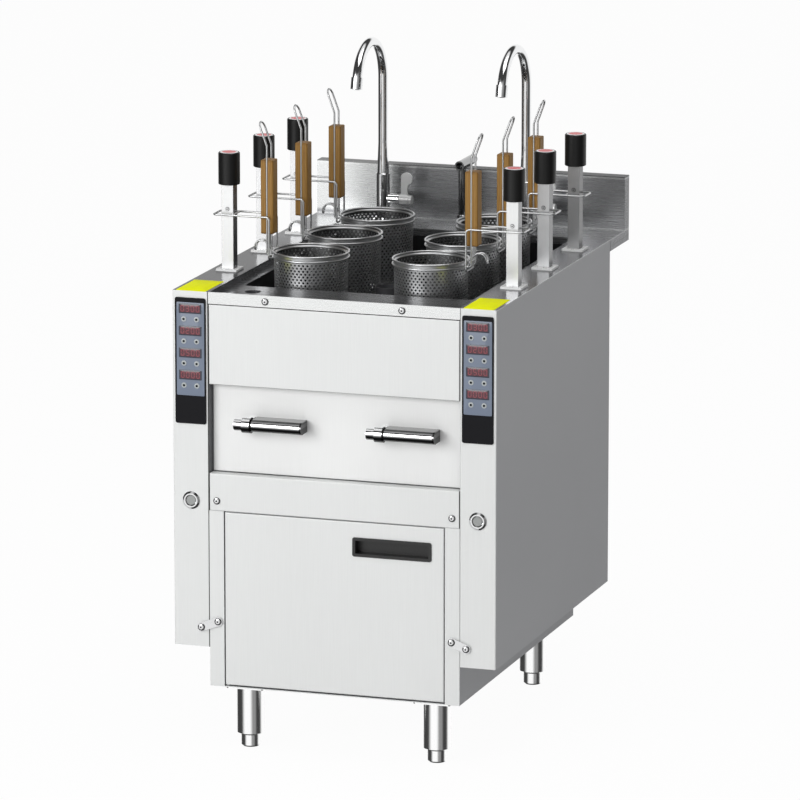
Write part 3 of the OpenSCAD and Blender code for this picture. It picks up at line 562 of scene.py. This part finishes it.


# The film is given a faint glow of its own yellow, painted light.
film_yellow, film_shader, film_node = finish("film_yellow", (0.80, 0.85, 0.008), 0.55,
                                             Specular_IOR_Level=0.03, Emission_Strength=0.07)
wear = film_shader.noise(film_shader.coordinate(), 160.0, 4.0, 0.6)
film_tone = 0.93 + 0.08 * wear
yellow = film_shader.node("ShaderNodeCombineColor", None, 0.88 * film_tone, 0.92 * film_tone,
                          0.004 + 0.01 * wear)
link(film_shader, film_node, Base_Color=yellow, Emission_Color=yellow, Roughness=0.48 + 0.2 * wear,
     Normal=film_shader.bump(wear, 0.1, 0.0002))
film_width, film_length, film_corner, film_thickness, film_edge = 0.056, 0.098, 0.002, 0.0004, 0.0002
film_x, film_y = 0.266, front_y + 0.0500
both_sides = (("left", -1), ("right", 1))
film = plate(film_width, film_length, film_corner, film_thickness, film_edge)
for side_name, direction in both_sides:
    solid_piece(f"column_top_film_{side_name}", *moved(film, direction * film_x, film_y, worktop_z),
                film_yellow, None, "base")

# Control overlays: a grey-blue printed membrane on the black plate of each module, with four
# smoked windows that show red figures, and eight light keys with a dark dot.
module_x, module_top, plate_face = 0.266, 0.817, front_y - 0.002
overlay_width, overlay_height, overlay_drop = 0.0517, 0.1676, 0.0922
window_pitch, window_middle = 0.0398, 0.0195
window_width, window_height, window_rise = 0.0425, 0.0175, 0.0009
figure_places = (-0.0143, -0.0048, 0.0048, 0.0143)
figure_width, figure_height, bar_width = 0.0052, 0.0100, 0.00135
key_places, key_drop = (-0.012, 0.012), 0.0386


def facing_front(form, x, y, z):
    """Stands a form drawn flat, face up, on a face that looks to the front: (x, height) to (x, z)."""
    points, faces = form
    return np.stack([points[:, 0] + x, y - points[:, 2], points[:, 1] + z], 1), faces


def turned_disc(profile, steps):
    """A closed form from (radius, height) points, carried round the upright axis, with closed ends."""
    angle = np.arange(steps) * 2 * np.pi / steps
    circle = np.stack([np.cos(angle), np.sin(angle)], 1)
    return slab([circle * radius for radius, _ in profile], [height for _, height in profile])


overlay_blue, overlay_shader, overlay_node = finish("overlay_blue", (0.18, 0.215, 0.285), 0.38)
_, _, overlay_z = overlay_shader.axes(overlay_shader.coordinate())
# The membrane is darker towards the top.
fade = overlay_z.step(0.64, 0.80)
weave = overlay_shader.noise(overlay_shader.coordinate(), 2200.0, 1.0)
overlay_tone = 1.08 - 0.16 * fade + 0.06 * weave
blue = overlay_shader.node("ShaderNodeCombineColor", None, 0.175 * overlay_tone, 0.21 * overlay_tone,
                           0.28 * overlay_tone)
link(overlay_shader, overlay_node, Base_Color=blue, Roughness=0.3 + 0.16 * weave,
     Normal=overlay_shader.bump(weave, 0.08, 0.0001))
window_smoke, smoke_shader, smoke_node = finish("window_smoke", (0.07, 0.03, 0.04), 0.15)
smoke_x, _, smoke_z = smoke_shader.axes(smoke_shader.coordinate())
across = abs(abs(smoke_x) - module_x)
down = (module_top - window_middle + window_pitch / 2 - smoke_z) % window_pitch - window_pitch / 2
lit = (1 - across.step(0.0182, 0.0192)) * (1 - abs(down).step(0.0062, 0.0070))
glimmer = smoke_shader.noise(smoke_shader.coordinate(), 900.0, 2.0)
smoke_colour = smoke_shader.colours(lit, (0.045, 0.048, 0.065), (0.105, 0.040, 0.052))
link(smoke_shader, smoke_node, Base_Color=smoke_colour, Roughness=0.12 + 0.12 * glimmer,
     Normal=smoke_shader.bump(glimmer, 0.05, 0.0001))
figure_red, figure_shader, figure_node = finish("figure_red", (0.25, 0.04, 0.05), 0.3, Emission_Strength=0.06)
pulse = figure_shader.noise(figure_shader.coordinate(), 500.0, 1.0)
glow_red = figure_shader.node("ShaderNodeCombineColor", None, 0.20 + 0.12 * pulse, 0.045, 0.06)
link(figure_shader, figure_node, Base_Color=glow_red, Emission_Color=glow_red)
key_white = moulded("key_white", (0.46, 0.49, 0.50), 0.3, (900.0, 2.0), 0.24, 0.16, 0.06, 0.0001)
key_dark, dot_shader, dot_node = finish("key_dark", (0.006, 0.006, 0.006), 0.4, Specular_IOR_Level=0.15)
dot_dust = dot_shader.noise(dot_shader.coordinate(), 900.0, 2.0)
link(dot_shader, dot_node, Roughness=0.35 + 0.16 * dot_dust)
module_black = moulded("module_black", (0.007, 0.007, 0.009), 0.3, (1400.0, 3.0), 0.24, 0.18,
                       0.1, 0.0001, Specular_IOR_Level=0.12)
dress(module_black, "control_modules")


def joined(forms):
    """Several forms (points, faces) in one."""
    start = np.cumsum([0] + [len(points) for points, _ in forms])
    return (np.concatenate([points for points, _ in forms]),
            np.concatenate([faces + n for (_, faces), n in zip(forms, start)]))


def seven_bars(shape, width, height, thick):
    """One figure of up to seven flat bars: top, upper right, lower right, foot, lower left, upper left
    and middle, each with its place and whether it lies."""
    bars = ((0, height / 2, True), (width / 2, height / 4, False), (width / 2, -height / 4, False),
            (0, -height / 2, True), (-width / 2, -height / 4, False), (-width / 2, height / 4, False),
            (0, 0, True))
    lit_bars = {"0": "012345", "3": "01236", "2": "01346", "5": "02356"}[shape]
    bar_rise, bar_edge, gap, corner = 0.00012, 0.00004, thick * 0.6, thick * 0.3
    forms = []
    for x, y, lying in (bars[int(number)] for number in lit_bars):
        size = (width - gap, thick) if lying else (thick, height / 2 - gap)
        forms.append(moved(plate(*size, corner, bar_rise, bar_edge), x, y, 0))
    return joined(forms)


overlay = plate(overlay_width, overlay_height, 0.002, 0.0003, 0.0001)
pane = plate(window_width, window_height, 0.0012, window_rise, 0.0003)
cap = turned_disc([(0.0049, 0), (0.0049, 0.0006), (0.0045, 0.00105), (0.0036, 0.0012), (0.0018, 0.0012)], 28)
dot = turned_disc([(0.0023, 0.0011), (0.0023, 0.0013), (0.0020, 0.0014)], 16)
for side_name, direction in both_sides:
    middle = direction * module_x
    solid_piece(f"control_overlay_{side_name}",
                *facing_front(overlay, middle + 0.0003, plate_face, module_top - overlay_drop),
                overlay_blue, "panel_black", "base")
    windows, figures, caps, dots = [], [], [], []
    for row, shapes in enumerate(("0300", "0200", "0500", "0000")):
        height = module_top - window_middle - row * window_pitch
        windows.append(facing_front(pane, middle, plate_face, height))
        for place, shape in zip(figure_places, shapes):
            figures.append(facing_front(seven_bars(shape, figure_width, figure_height, bar_width),
                                        middle + place, plate_face - window_rise, height))
        key_z = module_top - key_drop - row * window_pitch
        caps += [facing_front(cap, middle + place, plate_face, key_z) for place in key_places]
        dots += [facing_front(dot, middle + place, plate_face, key_z) for place in key_places]
    for name, forms, material, slot in (("control_windows", windows, window_smoke, "panel_black"),
                                        ("control_figures", figures, figure_red, None),
                                        ("control_keys", caps, key_white, "button_plastic"),
                                        ("control_dots", dots, key_dark, "black_plastic")):
        solid_piece(f"{name}_{side_name}", *joined(forms), material, slot, "base")

# Lifts: square tubes of bright drawn steel that slide in white nylon guides, each with a black
# cap, a red disc in its top and a bracket of bent wire welded to it.
station_rows, station_pitch = (-0.190, -0.0025, 0.185), 0.1875
post_x, post_screw_up, cap_top_up, disc_sink = 0.2665, 0.112, 0.214, 0.0008


def off_row(y):
    """How far y is from the nearest row of lifts: y folded by the pitch between the rows."""
    return (y - station_rows[0] + station_pitch / 2) % station_pitch - station_pitch / 2


def on_inner_or_outer_face(x, y, z):
    """1 on a post's two faces that look sideways and 0 on its front and back."""
    return abs(abs(x) - post_x).step(0.01075, 0.01095)


def post_shade(x, y, z):
    """Painted shade in the recess and on the rim of the screw on each post's front and on the side faces of
    the left posts, and the posts of the right column, which are darker than the others, the rear ones most."""
    away = (abs(x) - post_x).length(z - (worktop_z + post_screw_up))
    screw = 0.85 * (1 - away.step(0.0014, 0.0018)) + 0.80 * away.band(0.0028, 0.0040, 0.0002)
    left_side = 0.45 * (x < 0) * on_inner_or_outer_face(x, y, z)
    right_posts = (x > 0) * (0.05 + 0.26 * y.step(-0.16, -0.02) + 0.28 * y.step(0.02, 0.17))
    return (screw + left_side + right_posts).clamped()


# Every post's side faces take the darker grey as painted shade.
post_steel = sheet_steel("post_steel", (0.84, 0.845, 0.85), 0.24, 0.60, "z", 700.0,
                         second=(0.30, 0.302, 0.31), mask=on_inner_or_outer_face, painted_shade_and_darkening=post_shade,
                         lines=0.14, relief=0.03, Specular_IOR_Level=0.35)
guide_nylon = moulded("guide_nylon", (0.93, 0.935, 0.935), 0.5, (300.0, 3.0), 0.4, 0.2, 0.1, 0.0002)
dress(guide_nylon, "post_guides")
cap_rubber, rubber_shader, rubber_node = finish("cap_rubber", (0.010, 0.010, 0.010), 0.34,
                                                Specular_IOR_Level=0.25)
rubber_grain = rubber_shader.noise(rubber_shader.stretched((1.0, 1.0, 0.2)), 1500.0, 3.0)
link(rubber_shader, rubber_node, Roughness=0.26 + 0.16 * rubber_grain,
     Normal=rubber_shader.bump(rubber_grain, 0.08, 0.0002))
disc_red, disc_shader, disc_node = finish("disc_red", (0.70, 0.05, 0.06), 0.3)
disc_x, disc_y, _ = disc_shader.axes(disc_shader.coordinate())
white_rim = (abs(disc_x) - post_x).length(off_row(disc_y)).step(0.0126, 0.0132)
disc_dust = disc_shader.noise(disc_shader.coordinate(), 600.0, 3.0)
link(disc_shader, disc_node,
     Base_Color=disc_shader.colours(white_rim, (0.72, 0.045, 0.06), (0.88, 0.86, 0.86)),
     Roughness=0.22 + 0.2 * disc_dust, Normal=disc_shader.bump(disc_dust, 0.06, 0.0001))
wire_steel = sheet_steel("wire_steel", (0.58, 0.585, 0.59), 0.37, 1.0, "xyz", lines=0.08, relief=0.02)
disc = turned_disc([(0.0166, 0), (0.0166, 0.0005), (0.0162, 0.0009), (0.0150, 0.0011), (0.0080, 0.0013)], 48)
screw = turned_disc([(0.0026, 0), (0.0026, 0.0006), (0.0018, 0.0013), (0.0008, 0.0015)], 20)
screw_ahead, guide_rise = 0.0155, 0.0035
screws = []
for side_name, direction in both_sides:
    for row, row_y in enumerate(station_rows, 1):
        dress(post_steel, f"lift_post_{side_name}_{row}")
        dress(cap_rubber, f"post_cap_{side_name}_{row}")
        dress(wire_steel, f"basket_bracket_{side_name}_{row}")
        solid_piece(f"cap_disc_{side_name}_{row}",
                    *moved(disc, direction * post_x, row_y, worktop_z + cap_top_up - disc_sink),
                    disc_red, None, f"lift_{side_name}_{row}")
        screws.append(moved(screw, direction * post_x, row_y - screw_ahead, worktop_z + guide_rise))
solid_piece("guide_screws", *joined(screws), screw_steel, "polished_steel", "base")

# Strainers: a drawn cup of perforated stainless sheet with a heavy wire rim and a second ring,
# held by one long wire that runs up through the grip and back, and a hook of doubled wire.
cup_u, rim_up, cup_depth, ring_drop = 0.154, 0.045, 0.150, 0.0105
rim_r, rim_wire, cup_top, cup_foot, cup_corner, sheet = 0.068, 0.002, 0.0666, 0.0636, 0.014, 0.001
cone = (cup_top - cup_foot) / (cup_depth - cup_corner - rim_wire)
hole_r, hole_pitch, hole_count, hole_rows, row_step, first_row = 0.0020, 0.0075, 54, 23, 0.0052, 0.0212
foot_columns, foot_rows, foot_hole_u, foot_hole_v = 13, 14, 0.25, 0.27
steps_round = 2 * hole_count


def welded(points, faces):
    """Joins points closer than a thousandth of a millimetre."""
    keys = np.round(points / 1e-6).astype(np.int64)
    _, first, place = np.unique(keys, axis=0, return_index=True, return_inverse=True)
    return points[first], place.reshape(-1)[faces]


def perforated_cells(columns, rows, hole_width, hole_height):
    """A sheet of staggered cells, each 1 by 1, with an oval hole of the given half width and height.
    Twelve points along a cell's edge join twelve on its hole. Returns (u, v), the quads between them,
    and the pairs of neighbouring points round the holes."""
    edge = np.array([(1, 0), (1, 1), (.5, 1), (0, 1), (-.5, 1), (-1, 1),
                     (-1, 0), (-1, -1), (-.5, -1), (0, -1), (.5, -1), (1, -1)]) * 0.5
    n = len(edge)
    k = np.arange(n)
    turn = k * 2 * np.pi / n
    hole = np.stack([np.cos(turn) * hole_width, np.sin(turn) * hole_height], 1)
    column, row = np.meshgrid(np.arange(columns), np.arange(rows), indexing="ij")
    centre = np.stack([column + 0.5 * (row % 2), row + 0.5], -1).reshape(-1, 1, 2)
    flat = np.concatenate([centre + edge, centre + hole], 1).reshape(-1, 2)
    start = np.arange(columns * rows)[:, None] * 2 * n
    after = (k + 1) % n
    quads = np.stack([start + k, start + after, start + n + after, start + n + k], -1).reshape(-1, 4)
    walls = np.stack([start + n + k, start + n + after], -1).reshape(-1, 2)
    return flat, quads, walls


def perforated_shell(flat, quads, walls, outer, inner):
    """Both faces of the sheet and the walls of its holes. outer and inner map (u, v) into space."""
    count, (here, after) = len(flat), walls.T
    edges = np.stack([here, after, after + count, here + count], -1)
    return (np.concatenate([outer(flat), inner(flat)]),
            np.concatenate([quads, quads[:, ::-1] + count, edges]))


def turned_ring(profile, steps):
    """A closed outline of (radius, height) points carried round the upright axis."""
    angle = np.arange(steps) * 2 * np.pi / steps
    ring = np.asarray(profile)
    points = np.stack([ring[:, 0] * np.cos(angle)[:, None], ring[:, 0] * np.sin(angle)[:, None],
                       np.broadcast_to(ring[:, 1], (steps, len(ring)))], -1)
    return outward(points.reshape(-1, 3), grid_of(0, steps, steps, len(ring)))


def arc(centre, radius, start, end, steps):
    """Points of an arc in a plane, angles in degrees."""
    angle = np.radians(np.linspace(start, end, steps))
    return np.stack([centre[0] + radius * np.cos(angle), centre[1] + radius * np.sin(angle)], 1)


def wire(path, radius):
    """A round wire along a path: at each point a circle in the plane across the path,
    carried on from the circle before with the least twist, and closed by a fan at each end."""
    sides, aslant = 12, (0.31, 0.52, 0.79)
    path = np.asarray(path, float)
    ahead = np.gradient(path, axis=0)
    ahead /= np.linalg.norm(ahead, axis=1)[:, None]
    across = np.cross(ahead[0], aslant)
    frames = []
    for direction in ahead:
        across = across - direction * (across @ direction)
        across /= np.linalg.norm(across)
        frames.append(across)
    frames = np.array(frames)
    second = np.cross(ahead, frames)
    turn = np.arange(sides) * 2 * np.pi / sides
    points = (path[:, None] + radius * (np.cos(turn)[:, None] * frames[:, None]
                                        + np.sin(turn)[:, None] * second[:, None])).reshape(-1, 3)
    rings, n, k = len(path), len(points), np.arange(sides)
    last, after = (rings - 1) * sides, (k + 1) % sides
    fans = [fan(after, k, n), fan(last + k, last + after, n + 1)]
    return outward(np.concatenate([points, path[[0, -1]]]),
                   np.concatenate([grid_of(0, rings - 1, rings, sides), *fans]))


def cup_surface(offset):
    """The cup's wall as a cone: u turns round it, v climbs it, and the radius grows with the height."""
    def place(flat):
        angle = flat[:, 0] * 2 * np.pi / hole_count
        height = first_row + flat[:, 1] * row_step
        radius = cup_foot + cone * (height - cup_corner) + offset
        return np.stack([radius * np.cos(angle), radius * np.sin(angle), height], 1)
    return place


def foot_surface(height):
    """The cup's flat foot: a square from -1 to 1 squeezed to a disc, x = a sqrt(1 - b b / 2)."""
    overlap = 0.0004

    def place(flat):
        a = np.clip(flat[:, 0] / (foot_columns + 0.5) * 2 - 1, -1, 1)
        b = np.clip(flat[:, 1] / foot_rows * 2 - 1, -1, 1)
        disc = cup_foot - cup_corner + overlap
        return np.stack([disc * a * np.sqrt(1 - b * b / 2), disc * b * np.sqrt(1 - a * a / 2),
                         np.full(len(flat), height)], 1)
    return place


def strainer_cup():
    """Perforated wall and foot, the plain bands between them, the rim, the ring and the rolled hem."""
    wall = perforated_shell(*perforated_cells(hole_count, hole_rows, hole_r / hole_pitch, hole_r / row_step),
                            cup_surface(0.0), cup_surface(-sheet))
    flat, quads, walls = perforated_cells(foot_columns, foot_rows, foot_hole_u, foot_hole_v)
    foot = perforated_shell(flat, quads[:, ::-1], walls[:, ::-1], foot_surface(0.0), foot_surface(sheet))
    last_row, rim_foot = first_row + hole_rows * row_step, cup_depth - rim_wire
    low, high = cup_foot + cone * (first_row - cup_corner), cup_foot + cone * (last_row - cup_corner)
    corner_out = arc((cup_foot - cup_corner, cup_corner), cup_corner, -90, 0, 10)
    corner_in = arc((cup_foot - cup_corner, cup_corner), cup_corner - sheet, 0, -90, 10)
    lower = np.concatenate([corner_out, [(low, first_row), (low - sheet, first_row)], corner_in])
    upper = [(high, last_row), (cup_top, rim_foot), (cup_top - sheet, rim_foot), (high - sheet, last_row)]
    rims = [arc((rim_r, cup_depth - drop), rim_wire, 0, 330, 12) for drop in (rim_wire, ring_drop)]
    hem_r, hem_roll, hem_drop, hem_outer = 0.0630, 0.0015, 0.0058, cup_top - sheet * 0.8
    hem = np.concatenate([arc((hem_r, cup_depth - hem_drop), hem_roll, 50, 320, 11),
                          [(hem_outer, cup_depth - 0.0052), (hem_outer, cup_depth - 0.0034)]])
    return joined([wall, foot, *(turned_ring(ring, steps_round) for ring in (lower, upper, *rims, hem))])


def strainer_wires():
    """The handle wire as one path from the ring up and back to it, and the hook of doubled wire."""
    handle_u, handle_v, handle_wire, hook_wire, bar_wire = 0.0755, 0.012, 0.00175, 0.0014, 0.0016
    ring_up = rim_up - ring_drop
    ring_u = cup_u - math.sqrt(rim_r ** 2 - handle_v ** 2)
    kink, kink_r, bend_r, lean_degrees, lean_length = 0.230, 0.010, 0.004, 20, 0.032
    bend = arc((handle_u + bend_r, ring_up + bend_r), bend_r, 270, 180, 6)
    turn_over = arc((handle_u - kink_r, kink - 0.0018), kink_r, 0, lean_degrees, 5)
    rise = np.concatenate([[(ring_u, ring_up)], bend, turn_over])
    lean = math.radians(lean_degrees)
    tip_u, tip_z = handle_u - lean_length * math.sin(lean), kink + lean_length * math.cos(lean)
    loop = arc((0, 0), handle_v, 180, 0, 17)
    over = np.stack([tip_u - loop[:, 1] * math.sin(lean), loop[:, 0], tip_z + loop[:, 1] * math.cos(lean)], 1)
    front = np.stack([rise[:, 0], np.full(len(rise), -handle_v), rise[:, 1]], 1)
    handle = wire(np.concatenate([front, over, front[::-1] * (1, -1, 1)]), handle_wire)
    hook_r, hook_v = 0.013, 0.005
    side_arc = arc((handle_u - hook_r, rim_up), hook_r, 0, 180, 14)
    one = np.stack([side_arc[:, 0], np.full(len(side_arc), -hook_v), side_arc[:, 1]], 1)
    tip = arc((0, 0), hook_v, 180, 360, 9)[1:-1]
    under = np.stack([np.full(len(tip), handle_u - 2 * hook_r), tip[:, 0], rim_up + tip[:, 1]], 1)
    hook = wire(np.concatenate([one, under, one[::-1] * (1, -1, 1)]), hook_wire)
    bar = wire([(handle_u, -handle_v, rim_up), (handle_u, handle_v, rim_up)], bar_wire)
    return joined([handle, hook, bar])


def inside_cup(x, y, z):
    """Shade on the inner face of the wall: nearer to the cup's axis than the middle of the sheet."""
    height = z - (worktop_z + rim_up - cup_depth)
    wall = cup_foot - sheet / 2 + (height - cup_corner) * cone
    inner = wall - (abs(x) - (post_x - cup_u)).length(off_row(y))
    return 0.66 * inner.step(-0.0002, 0.0002) * (1 - inner.step(0.0008, 0.0010))


def at_station(form, direction, row_y):
    """A form drawn from the post's axis towards the tank, turned to its side and carried to its post."""
    points, faces = form
    return points * (-direction, -direction, 1) + (direction * post_x, row_y, worktop_z), faces


cup_steel = sheet_steel("cup_steel", (0.54, 0.545, 0.55), 0.30, 0.91, "xy", 1900.0, painted_shade_and_darkening=inside_cup,
                        lines=0.04, relief=0.002)
cup_form, wire_form = moved(welded(*strainer_cup()), cup_u, 0, rim_up - cup_depth), strainer_wires()
for side_name, direction in both_sides:
    for row, row_y in enumerate(station_rows, 1):
        body = f"strainer_{side_name}_{row}"
        cup = solid_piece(f"perforated_cup_{side_name}_{row}", *at_station(cup_form, direction, row_y),
                          cup_steel, "strainer_steel", body)
        wires = solid_piece(f"handle_wires_{side_name}_{row}", *at_station(wire_form, direction, row_y),
                            wire_steel, "wire_steel", body)
        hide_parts(body)
        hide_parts(body)

# Grips: bars of oiled hardwood with rounded edges, grooved for the two handle wires. Long grain
# runs up the bar: wavy bands of late wood, fine pores, and darker ends.
grip_low, grip_high = worktop_z + 0.0745, worktop_z + 0.2015
grip_wood, wood_shader, wood_node = finish("grip_wood", (0.30, 0.16, 0.040), 0.5, Specular_IOR_Level=0.25)
wood_x, wood_y, wood_z = wood_shader.axes(wood_shader.coordinate())
drift = wood_shader.noise(wood_shader.stretched((1.0, 1.0, 0.10)), 60.0, 3.0, 0.6)
bands = ((wood_x * 1500.0 + wood_y * 900.0 + drift * 26.0).sine() + 1.0) * 0.5
pores = wood_shader.noise(wood_shader.stretched((1.0, 1.0, 0.03)), 2600.0, 2.0, 0.6)
ends = 1 - wood_z.band(grip_low, grip_high, 0.0025)
depth = (0.45 * bands + 0.55 * pores).clamped()
shade_of_wood = wood_shader.colours(depth, (0.235, 0.115, 0.026), (0.40, 0.225, 0.058))
wood_colour = wood_shader.colours(ends * 0.5, shade_of_wood, (0.15, 0.070, 0.016))
link(wood_shader, wood_node, Base_Color=wood_colour, Roughness=0.42 + 0.2 * pores,
     Normal=wood_shader.bump(depth, 0.25, 0.0003))
for side_name, _ in both_sides:
    for row in range(1, 1 + len(station_rows)):
        dress(grip_wood, f"grip_{side_name}_{row}")

bpy.context.scene.view_settings.view_transform = "Standard"
